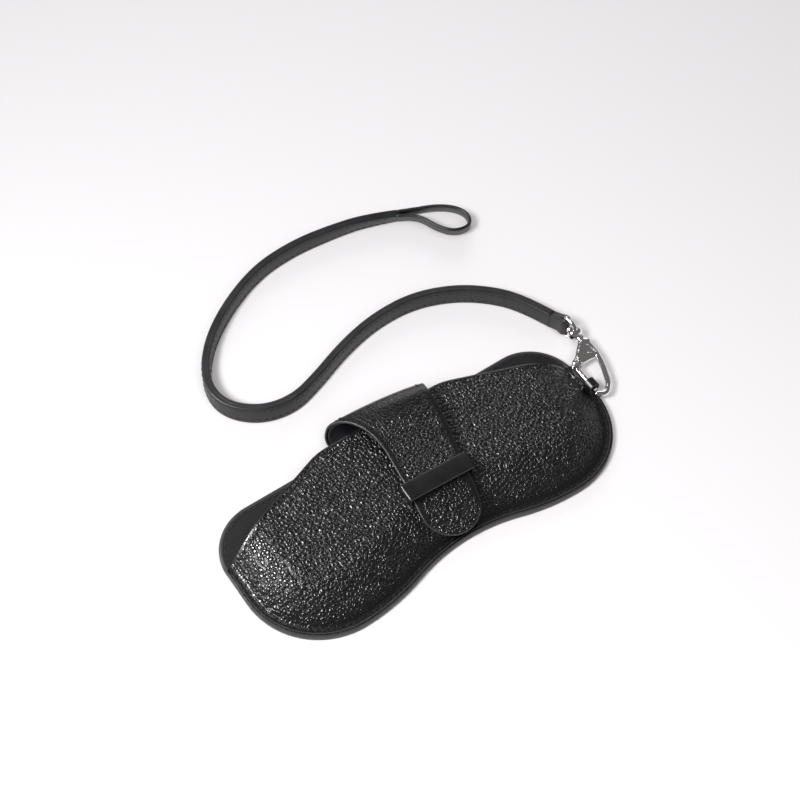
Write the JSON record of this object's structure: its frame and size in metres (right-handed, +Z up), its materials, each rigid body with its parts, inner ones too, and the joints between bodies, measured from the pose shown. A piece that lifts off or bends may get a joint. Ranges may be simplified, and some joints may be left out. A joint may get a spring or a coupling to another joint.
{
  "type": "slip case",
  "caption": "Moulded pebbled-leather slip case with a tuck-in flap under a keeper band, a swivel snap hook and a flat wrist strap.",
  "frame": {"origin": "middle of the back panel's underside, on the surface the case lies on", "axes": "+X along the case towards the snap hook's end, +Y towards the mouth, +Z up from the back panel through the domed front"},
  "size_m": [0.1826, 0.1693, 0.0193],
  "materials": {
    "pebbled_leather": "glossy pebble grain, black",
    "smooth_leather": "smooth, satin, black",
    "lining": "matt microsuede, black",
    "board": "fibre board",
    "edge_paint": "painted edge, satin, dark grey",
    "thread": "bonded thread, black",
    "chrome": "polished",
    "steel": "plain steel"
  },
  "bodies": {
    "case": {"back_panel": "pebbled_leather", "back_stiffener": "board", "back_lining": "lining", "front_panel": "pebbled_leather", "front_lining": "lining", "rim_edge_paint": "edge_paint", "rim_stitching": "thread", "mouth_stitching": "thread", "flap_root_leather": "pebbled_leather", "flap_root_lining": "lining", "flap_root_stitching": "thread", "keeper_band": "smooth_leather", "keeper_stitching": "thread", "hook_tab": "smooth_leather"},
    "flap": {"flap_bend_leather": "pebbled_leather", "flap_bend_lining": "lining", "flap_leather": "pebbled_leather", "flap_lining": "lining", "flap_stitching": "thread", "tongue_leather": "pebbled_leather", "tongue_lining": "lining"},
    "hook": {"hook_body": "chrome", "gate_pin": "steel", "gate_spring": "steel", "swivel_stem": "chrome"},
    "gate": {"gate": "chrome"},
    "ring": {"swivel_eye": "chrome"},
    "strap": {"strap_outer": "smooth_leather", "strap_inner": "smooth_leather", "strap_stitching": "thread", "strap_loop": "smooth_leather", "strap_end_fold": "smooth_leather"}
  },
  "joints": [
    {"name": "flap_fold", "type": "hinge", "parent": "case", "child": "flap", "pos_m": [0.00903, 0.03564, 0.003], "axis": [-0.9848, 0.1736, 0], "range_deg": [0, 80], "deforming": ["flap_bend_leather", "flap_bend_lining", "tongue_leather", "tongue_lining"]},
    {"name": "hook_swing", "type": "hinge", "parent": "case", "child": "hook", "pos_m": [0.0836, -0.0016, 0.0066], "axis": [0, 1, 0], "range_deg": [0, 12]},
    {"name": "gate_hinge", "type": "hinge", "parent": "hook", "child": "gate", "pos_m": [0.0849, 0.01, 0.0066], "axis": [0, 0, 1], "range_deg": [0, 10], "stiffness_Nm_per_rad": 0.01, "deforming": ["hook_tab"]},
    {"name": "swivel", "type": "hinge", "parent": "hook", "child": "ring", "pos_m": [0.0946, 0.0198, 0.0066], "axis": [-0.0985, 0.9951, 0], "continuous": true},
    {"name": "strap_pivot", "type": "hinge", "parent": "ring", "child": "strap", "pos_m": [0.09369, 0.029, 0.0066], "axis": [0, 0, 1], "range_deg": [-45, 9]}
  ]
}
